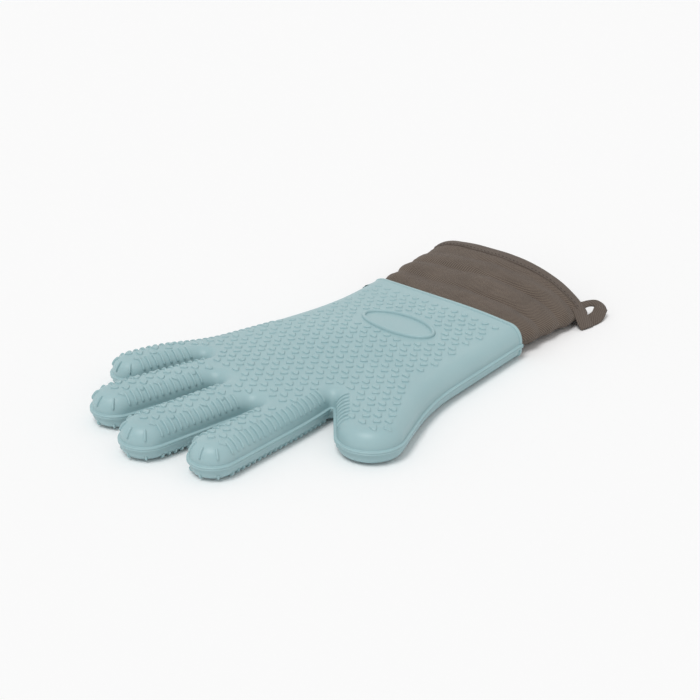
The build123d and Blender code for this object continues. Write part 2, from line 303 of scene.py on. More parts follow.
def node(tree, kind, **values):
    """A node with its settings, and with values on its sockets (spaces in their names written as _)."""
    n = tree.nodes.new(kind)
    for k, v in values.items():
        if hasattr(n, k):
            setattr(n, k, v)
        else:
            n.inputs[k.replace("_", " ")].default_value = v
    return n


def noise_node(tree, vector, scale, detail):
    n = node(tree, "ShaderNodeTexNoise", Scale=scale, Detail=detail)
    tree.links.new(vector, n.inputs["Vector"])
    return n.outputs


def wave_node(tree, vector, direction, pitch):
    n = node(tree, "ShaderNodeTexWave", wave_type="BANDS", bands_direction=direction, wave_profile="SIN",
             Scale=WAVE_SCALE / pitch)
    tree.links.new(vector, n.inputs["Vector"])
    return n.outputs["Fac"]


def weighted_sum(tree, value, weight, rest):
    n = node(tree, "ShaderNodeMath", operation="MULTIPLY_ADD")
    tree.links.new(value, n.inputs[0])
    n.inputs[1].default_value = weight
    tree.links.new(rest, n.inputs[2])
    return n.outputs["Value"]


def tint(tree, shader, value, low, dark, high, light):
    """Colours the shader from dark, where the value is low, to light, where it is high."""
    n = tree.nodes.new("ShaderNodeValToRGB")
    for element, position, colour in zip(n.color_ramp.elements, (low, high), (dark, light)):
        element.position = position
        element.color = (*colour, 1)
    tree.links.new(value, n.inputs["Fac"])
    tree.links.new(n.outputs["Color"], shader.inputs["Base Color"])


def bump(tree, shader, height, strength, distance):
    n = node(tree, "ShaderNodeBump", Strength=strength, Distance=distance)
    tree.links.new(height, n.inputs["Height"])
    tree.links.new(n.outputs["Normal"], shader.inputs["Normal"])


def silicone_material():
    m, tree, shader = new_material("silicone", {
        "Specular IOR Level": 0.5, "Subsurface Weight": 0.08, "Subsurface Scale": 1.0,
        "Subsurface Radius": (0.0014, 0.0022, 0.0024)})
    place = node(tree, "ShaderNodeTexCoord").outputs["Object"]
    cloud = noise_node(tree, place, 28.0, 3.0)["Fac"]
    tint(tree, shader, cloud, 0.3, (0.318, 0.478, 0.502), 0.7, (0.352, 0.512, 0.534))
    rough = node(tree, "ShaderNodeMapRange", To_Min=0.38, To_Max=0.48)
    tree.links.new(cloud, rough.inputs["Value"])
    tree.links.new(rough.outputs["Result"], shader.inputs["Roughness"])
    bump(tree, shader, noise_node(tree, place, 2600.0, 2.0)["Fac"], 0.10, 0.0002)
    return m


def twill_material(name, dark, light, pitch, strength=0.5):
    """Twill on cloth coordinates: diagonal ribs 1.4 pitches apart, crossed by the finer weft."""
    m, tree, shader = new_material(name, {
        "Roughness": 0.9, "Specular IOR Level": 0.15, "Sheen Weight": 0.12, "Sheen Roughness": 0.5})
    cloth = node(tree, "ShaderNodeUVMap", uv_map="cloth").outputs["UV"]
    waver = node(tree, "ShaderNodeVectorMath", operation="MULTIPLY_ADD")
    tree.links.new(noise_node(tree, cloth, 900.0, 2.0)["Color"], waver.inputs[0])
    waver.inputs[1].default_value = (pitch * YARN_WAVER, pitch * YARN_WAVER, 0)
    tree.links.new(cloth, waver.inputs[2])
    yarns = waver.outputs["Vector"]
    rib = wave_node(tree, yarns, "DIAGONAL", pitch)
    weft = wave_node(tree, yarns, "X", pitch * WEFT_PITCH)
    weave = weighted_sum(tree, weft, WEFT_WEIGHT, rib)
    shade = weighted_sum(tree, noise_node(tree, cloth, 55.0, 5.0)["Fac"], WEAR_WEIGHT, weave)
    scaled = node(tree, "ShaderNodeMath", operation="MULTIPLY")
    tree.links.new(shade, scaled.inputs[0])
    scaled.inputs[1].default_value = SHADE_SCALE
    tint(tree, shader, scaled.outputs["Value"], 0.15, dark, 0.95, light)
    bump(tree, shader, weave, strength, 0.0003)
    return m


def thread_material():
    m, tree, shader = new_material("thread", {"Roughness": 0.8, "Specular IOR Level": 0.2})
    place = node(tree, "ShaderNodeTexCoord").outputs["Object"]
    strands = noise_node(tree, place, 2500.0, 2.0)["Fac"]
    tint(tree, shader, strands, 0.3, (0.020, 0.016, 0.014), 0.7, (0.048, 0.040, 0.034))
    return m


SILICONE = silicone_material()
TWILL = twill_material("cuff_twill", (0.030, 0.023, 0.018), (0.258, 0.203, 0.161), 0.0010, 0.8)
LINING = twill_material("cuff_lining", (0.085, 0.068, 0.056), (0.150, 0.122, 0.102), 0.0008, 0.3)
TAPE = twill_material("binding_tape", (0.082, 0.064, 0.052), (0.180, 0.145, 0.120), 0.0010)
COTTON = twill_material("liner_cotton", (0.55, 0.53, 0.48), (0.74, 0.72, 0.67), 0.0007, 0.3)
THREAD = thread_material()


# Silicone shells. The grid of each flat top is laid over this stretch of X and of Y.
TOP_X, TOP_Y = (-170, 120), (-110, 110)


def shell_profile(height, shoulder, flange):
    """A half's profile as (distance inside the outline, height), from the parting plane to the top."""
    profile, base = [(0.0, 0.0)], LINER_BASE
    if flange:
        o, h = FLANGE_OUT, FLANGE_HALF
        profile = [(-o + 0.35, 0.0), (-o + 0.12, 0.07), (-o, 0.3), (-o, h - 0.35), (-o + 0.12, h - 0.1),
                   (-o + 0.4, h), (-0.35, h + 0.02), (-0.08, h + 0.14)]
        base = FLANGE_HALF + FLANGE_FILLET
    wall = height - shoulder
    if wall > base:
        profile.append((0.0, base))
    for k in range(SHOULDER_STEPS + 1):
        a = math.pi / 2 * k / SHOULDER_STEPS
        profile.append((shoulder * (1 - math.cos(a)), wall + shoulder * math.sin(a)))
    return profile


def top_points(ring, spacing):
    """Points of a triangular grid inside the ring, clear of the ring's own points."""
    row_share, clear_share = 0.866, 0.55
    x, y = np.meshgrid(np.arange(*TOP_X, spacing), np.arange(*TOP_Y, spacing * row_share))
    x = x + (np.arange(len(x)) % 2)[:, None] * spacing / 2
    x, y = x.ravel(), y.ravel()
    near = np.full(len(x), np.inf)
    for a, b in ring:
        near = np.minimum(near, np.hypot(x - a, y - b))
    keep = inside(ring, x, y) & (near > spacing * clear_share)
    return np.stack([x[keep], y[keep]], 1)


def made_of(kind, geometry):
    return [g for g in geometry if isinstance(g, kind)]


def wrist_lip(bm, end):
    """Cuts the shell off at the wrist and turns its edge in by the wall's thickness, then back."""
    bmesh.ops.bisect_plane(bm, geom=list(bm.verts) + list(bm.edges) + list(bm.faces), plane_co=(end, 0, 0),
                           plane_no=(1, 0, 0), clear_outer=True, dist=1e-5)
    bmesh.ops.delete(bm, geom=[v for v in bm.verts if not v.link_faces], context="VERTS")
    bm.normal_update()
    edge = [e for e in bm.edges if e.is_boundary and all(abs(v.co.x - end) < 1e-3 for v in e.verts)]
    made = bmesh.ops.extrude_edge_only(bm, edges=edge)["geom"]
    for v in made_of(bmesh.types.BMVert, made):
        middle = min(max(v.co.y, WRIST_THUMB_Y + WRIST_CORNER), WRIST_LITTLE_Y - WRIST_CORNER)
        fall = WRIST_CORNER_FALL if abs(v.co.y - middle) > 0.1 else 1
        pull = Vector((0, middle - v.co.y, -v.co.z * fall))
        if pull.length > 1e-6:
            v.co += pull.normalized() * min(WALL, pull.length)
    made = bmesh.ops.extrude_edge_only(bm, edges=made_of(bmesh.types.BMEdge, made))["geom"]
    for v in made_of(bmesh.types.BMVert, made):
        v.co.x -= WRIST_LIP


def shell(build, circles, height, shoulder, flange, step=1.3, spacing=3.5, end=WRIST_X):
    """One half's skin over the parting plane: flange lip, wall, rounded shoulder and flat top."""
    line, _ = belt(circles, step, overrun=OVERRUN)
    xy, normal = line[:, :2], line[:, 2:]
    n = len(xy)
    profile = shell_profile(height, shoulder, flange)
    rings = np.stack([np.column_stack([xy - normal * o, np.full(n, z)]) for o, z in profile])
    faces = []
    for j in range(len(profile) - 1):
        for i in range(n - 1):
            faces.append((j * n + i, (j + 1) * n + i, (j + 1) * n + i + 1, j * n + i + 1))
    ring = rings[-1][:, :2]
    inner = top_points(ring, spacing)
    points = np.concatenate([rings.reshape(-1, 3), np.column_stack([inner, np.full(len(inner), height)])])
    # The top's points are the last ring's and then the inner ones, so their numbers run on from that ring.
    start = (len(profile) - 1) * n
    corners = [Vector(p) for p in np.concatenate([ring, inner])]
    _, _, triangles, origin, _, _ = delaunay_2d_cdt(corners, [], [list(range(n))], 1, 1e-5)
    for triangle in triangles:
        f = tuple(start + min(origin[v]) for v in triangle)
        a, b, c = (points[i] for i in f)
        if (b[0] - a[0]) * (c[1] - a[1]) - (b[1] - a[1]) * (c[0] - a[0]) < 0:
            f = f[::-1]
        faces.append(f)
    bm = bmesh.new()
    verts = [bm.verts.new(p) for p in points]
    for f in faces:
        bm.faces.new([verts[i] for i in f])
    wrist_lip(bm, end)
    bm.verts.index_update()
    # The extrusions give their faces in no fixed order, so all are sorted by the points they use.
    build.add([v.co[:] for v in bm.verts], sorted(([v.index for v in f.verts] for f in bm.faces), key=sorted))
    bm.free()


def side_y(x, side):
    """The outline's Y at x, on the thumb's side (-1) or the little finger's side (1) of the wrist."""
    share = len(LINE) // 3
    part = LINE[:share] if side < 0 else LINE[-share:]
    order = np.argsort(part[:, 0])
    return np.interp(x, part[order, 0], part[order, 1])


def wrist_section(x, height, shoulder, out=0.0, count=40):
    """The shell's outer line across the wrist at x, moved outwards, from thumb to little finger."""
    a = np.linspace(0, math.pi / 2, SHOULDER_STEPS + 1)
    near, far = side_y(x, -1), side_y(x, 1)
    wall = height - shoulder
    rise_y = shoulder * (1 - np.cos(a))
    rise_z = wall + shoulder * np.sin(a)
    y = np.concatenate([[near - out], near + rise_y - out * np.cos(a),
                        np.linspace(near + shoulder, far - shoulder, count)[1:-1],
                        (far - rise_y + out * np.cos(a))[::-1], [far + out]])
    z = np.concatenate([[FLANGE_HALF], rise_z + out * np.sin(a), np.full(count - 2, height + out),
                        (rise_z + out * np.sin(a))[::-1], [FLANGE_HALF]])
    return np.stack([np.full(len(y), x), y, z], 1)


def wrist_bead(build, height, shoulder):
    overhang, sink = 0.05, 0.02
    rows = []
    for k in range(BEAD_STEPS + 1):
        a = math.pi * k / BEAD_STEPS
        x = WRIST_X + overhang - RIM_WIDTH / 2 * (1 - math.cos(a))
        rows.append(wrist_section(x, height, shoulder, RIM_OUT * math.sin(a) ** BEAD_ROUND - sink))
    build.grid(np.array(rows))


def badge_bead(build, height):
    x, y, half_width, half_length = BADGE
    u = np.linspace(0, 2 * math.pi, BADGE_SIDES, endpoint=False)
    rows = []
    for k in range(BEAD_STEPS + 1):
        a = math.pi * k / BEAD_STEPS
        out = BADGE_BEAD / 2 * math.cos(a) - BADGE_BEAD / 2
        z = height - BEAD_SINK + BADGE_HEIGHT * math.sin(a) ** BEAD_ROUND
        rows.append(np.column_stack([x + (half_width + out) * np.cos(u), y + (half_length + out) * np.sin(u),
                                     np.full(BADGE_SIDES, z)]))
    build.grid(np.array(rows), closed=True)


# Grip pattern: hearts in a staggered lattice, pointing by turns to the cuff and to the fingertips.
PITCH_X, PITCH_Y = 11.61, 9.08
LATTICE = (-38.74, 19.79)
LATTICE_COLUMNS, LATTICE_ROWS = range(-14, 14), range(-14, 10)
LATTICE_END_X = 90
# Up to each Y the lattice starts at the X beside it; from there the hearts follow the fingers.
LATTICE_STARTS = [(-46.0, -70.0), (-14.0, -84.0), (27.0, -86.0), (63.0, -75.0), (math.inf, -68.0)]
# Rows along each finger: its tip, its turn in degrees, each row's place across it, and where they end
FINGERS = [
    (INDEX_TIP, 6.1, (-6.8, -2.27, 2.27, 6.8), -84.0),
    (MIDDLE_TIP, 0.2, (-6.8, -2.27, 2.27, 6.8), -88.0),
    (RING_TIP, -5.4, (-6.8, -2.27, 2.27, 6.8), -78.0),
    (LITTLE_TIP, 1.5, (-4.54, 0.0, 4.54), -70.0),
]
FINGER_COLUMNS = range(7)
# The thumb's side of the hand stays smooth up to this line.
SMOOTH_EDGE = np.array([(-60, -100), (-51, -93), (-44, -88), (-36.9, -81), (8.2, -52.3), (49.2, -44),
                        (90, -36)])
# Least distance of a heart from the outline, from the badge and from the next heart
HEART_INSET, THUMB_HEART_INSET, FINGER_HEART_INSET = 7.6, 5.0, 6.0
THUMB_HEARTS_X, THUMB_HEARTS_Y = -55, -50
BADGE_CLEAR = 3.9
HEART_SPACE = 6.2
HEART = 5.7
# Levels of a heart, from its root to its top, as (share of its outline, share of its height)
HEART_LEVELS = [(1.04, -0.2), (1.01, 0.0), (0.98, 0.46), (0.91, 0.80), (0.78, 0.97), (0.6, 1.0)]


def heart_line(count=24):
    """A heart's outline about its middle, its tip towards +X, about one unit wide."""
    t = np.linspace(0, 2 * math.pi, count, endpoint=False)
    across = 16 * np.sin(t) ** 3
    along = -(13 * np.cos(t) - 3 * np.cos(2 * t) - 1.2 * np.cos(3 * t) - 0.4 * np.cos(4 * t))
    return np.stack([along - 2.2, across], 1) / 33.0


def lattice_hearts(badge):
    """Hearts over the palm and the thumb, as x, y, turn and least distance from the outline."""
    for column in LATTICE_COLUMNS:
        for row in LATTICE_ROWS:
            for turn, dx, dy in ((math.pi, 0, 0), (0.0, PITCH_X / 2, PITCH_Y / 2)):
                x, y = LATTICE[0] + column * PITCH_X + dx, LATTICE[1] + row * PITCH_Y + dy
                start = next(x0 for y1, x0 in LATTICE_STARTS if y < y1)
                if not start <= x <= LATTICE_END_X or np.interp(x, *SMOOTH_EDGE.T) > y:
                    continue
                across = ((x - BADGE[0]) / (BADGE[2] + BADGE_CLEAR)) ** 2
                along = ((y - BADGE[1]) / (BADGE[3] + BADGE_CLEAR)) ** 2
                if badge and across + along < 1:
                    continue
                thumb = x > THUMB_HEARTS_X and y < THUMB_HEARTS_Y
                yield x, y, turn, THUMB_HEART_INSET if thumb else HEART_INSET


def finger_hearts():
    """Hearts in rows along the fingers, as x, y, turn and least distance from the outline."""
    for tip, degrees, rows, end in FINGERS:
        turn = math.radians(degrees)
        c, s = math.cos(turn), math.sin(turn)
        for row, across in enumerate(rows):
            odd = row % 2
            for column in FINGER_COLUMNS:
                along = column * PITCH_X + (PITCH_X / 2 if odd else 0.0)
                x, y = tip[0] + along * c - across * s, tip[1] + along * s + across * c
                if x < end:
                    yield x, y, turn + (0.0 if odd else math.pi), FINGER_HEART_INSET


def heart_places(badge):
    """The hearts that have room: the fingers' own come first, and each keeps its distance from the others."""
    places = np.array([*lattice_hearts(badge), *finger_hearts()])
    places = places[depth(places[:, 0], places[:, 1]) > places[:, 3]]
    kept = []
    for p in places[::-1]:
        if all(math.hypot(p[0] - q[0], p[1] - q[1]) > HEART_SPACE for q in kept):
            kept.append(p)
    kept = np.array(kept)
    return kept[inside(LINE[:, :2], kept[:, 0], kept[:, 1])]


def heart_faces(n, first):
    """Faces of one heart, whose points are its levels of n points each and then its middle."""
    faces = []
    for j in range(len(HEART_LEVELS) - 1):
        lower, upper = first + j * n, first + (j + 1) * n
        faces += [(lower + i, lower + (i + 1) % n, upper + (i + 1) % n, upper + i) for i in range(n)]
    last = first + (len(HEART_LEVELS) - 1) * n
    return faces + [(last + i, last + (i + 1) % n, last + n) for i in range(n)]


def hearts(build, height, shoulder, badge):
    line = heart_line() * HEART
    n = len(line)
    spots, lifts, faces = [], [], []
    for k, (x, y, turn, _) in enumerate(heart_places(badge)):
        c, s = math.cos(turn), math.sin(turn)
        turned = line @ np.array([[c, s], [-s, c]])
        for scale, lift in HEART_LEVELS:
            spots.append(turned * scale + (x, y))
            lifts.append(np.full(n, lift * GRIP_HEIGHT))
        spots.append(np.array([[x, y]]))
        lifts.append(np.array([GRIP_HEIGHT]))
        faces += heart_faces(n, k * (len(HEART_LEVELS) * n + 1))
    xy = np.concatenate(spots)
    z = shoulder_height(depth(xy[:, 0], xy[:, 1]), height, shoulder) + np.concatenate(lifts)
    build.add(np.column_stack([xy, z]), faces)


# Ribs over the shoulders. They sink into the skin, and fade out at both ends to a share of their width.
RIB_WIDTH, RIB_RISE, RIB_SINK = 1.5, 1.2, 0.08
RIB_FADE, RIB_END_SHARE, RIB_ROUND = 1.3, 0.35, 0.7
RIB_ROWS = 16
RIB_STEP = 4.4
# Runs of ribs: from one circle's end to another's start, with a margin at each end
RIB_RUNS = [(2, 3, 1.0, 0.5), (3, 5, 2.5, 1.5), (5, 6, 1.5, 4.0), (6, 7, 4.0, 1.5), (7, 8, 1.5, 4.0),
            (8, 9, 4.0, 1.5), (9, 10, 1.5, 4.0), (10, 11, 4.0, 1.5), (11, 12, 1.5, -6.0)]
# Ribs round each fingertip, at these shares of the tip's arc
TIP_CIRCLES = (5, 7, 9, 11)
TIP_RIB_SHARE = (0.20, 0.45, 0.70, 0.92)
# First and last angle of a rib on the shoulder's arc
SIDE_RIB = (0.30, 1.46)
TIP_RIB = (0.20, 1.05)


def rib(build, s, height, shoulder, low, high):
    """A ridge over the shoulder, square to the outline, between two angles of the shoulder's arc."""
    x, y, nx, ny = at_station(s)
    wall = height - shoulder
    rows = []
    for a in np.linspace(low, high, RIB_ROWS):
        fade = math.sqrt(min(1.0, min(a - low, high - a) * shoulder / RIB_FADE))
        width = RIB_WIDTH / 2 * (RIB_END_SHARE + (1 - RIB_END_SHARE) * fade)
        o, z = shoulder * (1 - math.cos(a)), wall + shoulder * math.sin(a)
        bx, by = x - nx * o, y - ny * o
        row = []
        for k in range(BEAD_STEPS + 1):
            t = math.pi * k / BEAD_STEPS
            across = width * math.cos(t)
            lift = RIB_RISE * fade * math.sin(t) ** RIB_ROUND - RIB_SINK
            row.append((bx - ny * across + nx * math.cos(a) * lift,
                        by + nx * across + ny * math.cos(a) * lift,
                        z + math.sin(a) * lift))
        rows.append(row)
    build.grid(np.array(rows))


def rib_stations():
    """Each rib's place along the outline, and its first and last angle."""
    stations = []
    for a, b, first, last in RIB_RUNS:
        s0, s1 = STATION[ARCS[a - 1][1]] + first, STATION[ARCS[b - 1][0]] - last
        n = max(1, round((s1 - s0) / RIB_STEP))
        stations += [(s0 + (s1 - s0) * k / n, *SIDE_RIB) for k in range(n + 1)]
    for a in TIP_CIRCLES:
        s0, s1 = STATION[ARCS[a - 1][0]], STATION[ARCS[a - 1][1]]
        stations += [(s0 + (s1 - s0) * t, *TIP_RIB) for t in TIP_RIB_SHARE]
    return stations


def lie(build, down):
    """Points and faces of a half as it lies: the palm half turned over, the back half sunk in."""
    points, faces = build.all()
    if down:
        points[:, 2] *= -1
        return points, [f[::-1] for f in faces]
    points[:, 2] = settle(points[:, 0], points[:, 1], points[:, 2])
    return points, faces


def silicone_half(name, node_name, height, shoulder, down, badge):
    build = Build()
    shell(build, CIRCLES, height, shoulder, True)
    wrist_bead(build, height, shoulder)
    if badge:
        badge_bead(build, height)
    hearts(build, height, shoulder, badge)
    for s, low, high in rib_stations():
        rib(build, s, height, shoulder, low, high)
    points, faces = lie(build, down)
    obj = piece(name, points, faces, SILICONE, "glove")
    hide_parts(node_name)


silicone_half("silicone_back", "silicone_back_half", BACK_HEIGHT, BACK_SHOULDER, False, True)
silicone_half("silicone_palm", "silicone_palm_half", PALM_HEIGHT, PALM_SHOULDER, True, False)


def liner_half(name, node_name, height, shoulder, down):
    build = Build()
    shell(build, inset(CIRCLES, LINER_GAP), height - LINER_GAP, shoulder - LINER_GAP, False,
          LINER_STEP, LINER_GRID, WRIST_X - LINER_BACK)
    points, faces = lie(build, down)
    obj = piece(name, points, faces, COTTON, "glove", uv=points[:, :2])
    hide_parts(node_name)


liner_half("liner_back", "liner_back_panel", BACK_HEIGHT, BACK_SHOULDER, False)
liner_half("liner_palm", "liner_palm_panel", PALM_HEIGHT, PALM_SHOULDER, True)


# Cuff: loops across it as (y, z), from the thumb-side fold over the back to the far fold and under again.
WRIST_LOOP = np.array([
    (-43.7, 0.6), (-42.2, 5.0), (-36.5, 7.7), (-24, 9.0), (-9, 8.7), (6, 7.8), (21.4, 6.9), (37, 5.6),
    (53, 4.4), (66, 3.4), (79, 2.2), (85.8, -0.4), (80, -4.8), (66, -5.6), (53, -5.7), (37, -5.7),
    (21, -5.7), (6, -5.7), (-9, -5.7), (-24, -5.7), (-36, -5.3), (-42, -3.4)])
HEM_LOOP = np.array([
    (-35.0, -3.9), (-32.4, 0.0), (-24.8, 5.2), (-13.2, 10.3), (0.5, 13.9), (16.9, 16.2), (32.4, 16.6),
    (48.1, 15.8), (64.1, 14.4), (80.2, 12.0), (93.3, 8.8), (102.3, 3.6), (100, -4), (88, -7.4), (70, -7.8),
    (54, -7.9), (38, -7.9), (22, -7.9), (6, -7.9), (-10, -7.8), (-23, -7.5), (-31.4, -6.5)])


def closed_curve(points, count):
    """A smooth closed line through the points."""
    n = len(points)
    t = np.linspace(0, n, count, endpoint=False)
    i = t.astype(int)
    f = (t - i)[:, None]
    p0, p1, p2, p3 = (points[(i + k) % n] for k in (-1, 0, 1, 2))
    return 0.5 * ((2 * p1) + (-p0 + p2) * f + (2 * p0 - 5 * p1 + 4 * p2 - p3) * f ** 2
                  + (-p0 + 3 * p1 - 3 * p2 + p3) * f ** 3)


AROUND = 300
CLOTH_CLEAR = 0.15
CUFF_THICK = 3.4
WRIST_CURVE = closed_curve(WRIST_LOOP, AROUND)
HEM_CURVE = closed_curve(HEM_LOOP, AROUND)


def loop_normals(curve):
    d = np.roll(curve, -1, 0) - np.roll(curve, 1, 0)
    n = np.stack([-d[:, 1], d[:, 0]], 1)
    return n / np.linalg.norm(n, axis=1)[:, None]


# Soft ripples and creases across the cuff: place along it, as a share of its length, at the little finger's
# side and at the thumb's side, then width along it and height or depth
RIPPLES = [(0.12, 0.17, 0.075, 2.8), (0.36, 0.46, 0.080, 2.6), (0.60, 0.72, 0.075, 2.1),
           (0.84, 0.90, 0.050, 1.2)]
CREASES = [(0.25, 0.31, 0.030, 2.2), (0.48, 0.60, 0.030, 1.9), (0.73, 0.82, 0.025, 1.3)]
RIPPLE_DRIFT, CREASE_DRIFT = 0.045, 0.05
# Their strength and how much it varies
RIPPLE_STRENGTH, RIPPLE_SPREAD = 0.75, 0.45
CREASE_STRENGTH, CREASE_SPREAD = 0.65, 1.1
# Heights of the small unevenness and of the padding's plain swell
FINE_HEIGHT, FINER_HEIGHT = 0.55, 0.22
FILL_HEIGHT = 1.0
# Y of the little finger's side and the run to the thumb's side; Z where the back begins and its run
SIDE_FROM, SIDE_RUN = 95, 125
OVER_FROM, OVER_RUN = -3.0, 6.0
# Towards the far fold and under the cuff the forms weaken to these shares.
FAR_FROM, FAR_RUN, FAR_SHARE = 96, 18, 0.3
UNDER_SHARE, UNDER_FILL_SHARE = 0.35, 0.3
WRIST_FADE, HEM_FADE = 0.07, 0.10


def wander(y, rate, a, b):
    """Smooth random values between -1 and 1 along Y."""
    return np.array([noise.noise((v * rate, a, b)) for v in y])


def bulge(t, centre, width):
    return np.exp(-((t - centre) / width) ** 2)


def cuff_offset(t, curve):
    """How far the padded cloth stands off its plain loft at a share of the cuff's length.

    Bare numbers given to the noise are its rates of change and places in it, apart for each form.
    """
    y, z = curve[:, 0], curve[:, 1]
    side = np.clip((SIDE_FROM - y) / SIDE_RUN, 0, 1)
    over = smooth((z - OVER_FROM) / OVER_RUN)
    far_side = FAR_SHARE + (1 - FAR_SHARE) * smooth((FAR_FROM - y) / FAR_RUN)
    out = np.zeros(len(y))
    for k, (far, near, width, height) in enumerate(RIPPLES):
        centre = far + (near - far) * side + wander(y, 0.025, k * 7.3, 0.4) * RIPPLE_DRIFT
        strength = RIPPLE_STRENGTH + RIPPLE_SPREAD * wander(y, 0.03, 3.1, k * 5.7)
        under = UNDER_SHARE + (1 - UNDER_SHARE) * over
        out += height * strength * bulge(t, centre, width) * under * far_side
    for k, (far, near, width, height) in enumerate(CREASES):
        centre = far + (near - far) * side + wander(y, 0.03, k * 4.9, 6.2) * CREASE_DRIFT
        strength = np.clip(CREASE_STRENGTH + CREASE_SPREAD * wander(y, 0.022, 1.7, k * 8.3), 0, 1)
        out -= height * strength * over * bulge(t, centre, width)
    fine = np.array([noise.noise((t * 9.0, v * 0.055, w * 0.09 + 2.0)) for v, w in zip(y, z)])
    finer = np.array([noise.noise((t * 21.0, v * 0.14 + 8.0, w * 0.2)) for v, w in zip(y, z)])
    out = out + (FINE_HEIGHT * fine + FINER_HEIGHT * finer) * smooth(t / 0.08) * smooth((1.02 - t) / HEM_FADE)
    under_fill = UNDER_FILL_SHARE + (1 - UNDER_FILL_SHARE) * over
    fill = FILL_HEIGHT * np.sin(math.pi * np.clip(t, 0, 1)) * under_fill
    return (out * smooth((t + 0.01) / WRIST_FADE) + fill) * smooth((1.03 - t) / HEM_FADE)


def plain_loop(t):
    """The cuff's plain loft at a share of its length, and the normals round it."""
    curve = WRIST_CURVE * (1 - t) + HEM_CURVE * t
    return curve, loop_normals(curve)


def cuff_row(x, offset):
    t = (x - WRIST_X) / (HEM_X - WRIST_X)
    curve, normal = plain_loop(np.clip(t, 0, 1))
    lift = (cuff_offset(t, curve) if t > 0 else 0.0) + offset
    curve = curve + normal * np.reshape(lift, (-1, 1))
    curve[:, 1] = above_table(curve[:, 1], CLOTH_CLEAR)
    return np.column_stack([np.full(AROUND, x), curve])


def length_round(line):
    """Length along a closed line at each of its points."""
    d = np.linalg.norm(np.diff(np.vstack([line, line[:1]]), axis=0), axis=1)
    return np.concatenate([[0], np.cumsum(d)[:-1]])


def tube(name, xs, material, nodes, offset=0.0, flip=False):
    """Cloth round the wrist; its cloth coordinates are the length round each row and the place along X."""
    rows = np.array([cuff_row(x, offset) for x in xs])
    uv = np.concatenate([np.column_stack([length_round(row), row[:, 0]]) for row in rows])
    build = Build()
    build.grid(rows, closed=True, flip=flip)
    points, faces = build.all()
    obj = piece(name, points, faces, material, "glove", uv=uv)
    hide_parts(*nodes)
    return obj


CLOTH_EDGE = 0.5
CLOTH_START, CLOTH_END = WRIST_X - TUCK, HEM_X - CLOTH_EDGE
TUCK_ROWS, CUFF_ROWS, INSIDE_ROWS = 5, 76, 40
tucked = np.linspace(CLOTH_START, WRIST_X - CLOTH_EDGE, TUCK_ROWS)
shown = np.linspace(WRIST_X, CLOTH_END, CUFF_ROWS)
cuff = tube("cuff_cloth", np.concatenate([tucked, shown]), TWILL,
            ["cuff_back_panel", "cuff_palm_panel", "cuff_back_wadding", "cuff_palm_wadding"])
tube("cuff_inside", np.linspace(CLOTH_START, CLOTH_END, INSIDE_ROWS), LINING,
     ["cuff_back_lining", "cuff_palm_lining"], offset=-CUFF_THICK, flip=True)


# Binding folded over the hem, with its stitch line. Its profile, from the outer edge round the fold to the
# inner edge, is (place along X from the hem, distance out from the cloth); the stitches lie in its groove.
FIRST = -BINDING_WIDTH
BINDING_PROFILE = [
    (FIRST, -0.15), (FIRST - 0.1, 0.45), (FIRST + 0.35, 0.95), (FIRST + 1.3, 0.85), (FIRST + 1.9, 0.72),
    (FIRST + 2.5, 0.95), (FIRST + 4.0, 1.15), (-3.0, 1.2), (-1.2, 1.1), (-0.1, 0.75), (0.6, 0.0),
    (0.85, -0.9), (0.85, -2.2), (0.5, -3.2), (-0.4, -3.9), (-2.0, -4.2),
    (FIRST + 1.0, -4.2), (FIRST + 0.2, -3.9), (FIRST + 0.1, -3.2)]
BINDING_GROOVE = 4
BINDING_INSIDE = -1
BINDING_WAVE, BINDING_INSIDE_WAVE = 0.35, 0.3
BINDING_CLEAR, STITCH_CLEAR = 0.05, 0.02


def binding_rows():
    rows, flat = [], []
    run = 0.0
    for k, (dx, out) in enumerate(BINDING_PROFILE):
        x = HEM_X + dx
        t = min((x - WRIST_X) / (HEM_X - WRIST_X), 1.0)
        curve, normal = plain_loop(t)
        outside = out > BINDING_INSIDE
        lift = (cuff_offset(t, curve) if outside else np.zeros(AROUND)) + out
        wave = np.array([noise.noise((v * 0.06, w * 0.08, 5.0 + dx * 0.05)) for v, w in curve]) * BINDING_WAVE
        curve = curve + normal * (lift + wave * (1 if outside else BINDING_INSIDE_WAVE))[:, None]
        curve[:, 1] = above_table(curve[:, 1], BINDING_CLEAR)
        rows.append(np.column_stack([np.full(AROUND, x), curve]))
        if k:
            run += math.dist(BINDING_PROFILE[k], BINDING_PROFILE[k - 1])
        flat.append(np.column_stack([length_round(curve), np.full(AROUND, run)]))
    return np.array(rows), np.concatenate(flat)


rows, flat = binding_rows()
build = Build()
build.grid(rows, closed=True)
points, faces = build.all()
binding = piece("binding", points, faces, TAPE, "glove", uv=flat)
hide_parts("hem_binding")


STITCH_LENGTH, STITCH_GAP, STITCH_THICK = 2.4, 1.0, 0.42
STITCH_ROWS, STITCH_SIDES = 6, 6
STITCH_RISE, STITCH_SINK, STITCH_END_SHARE = 0.30, 0.12, 0.55


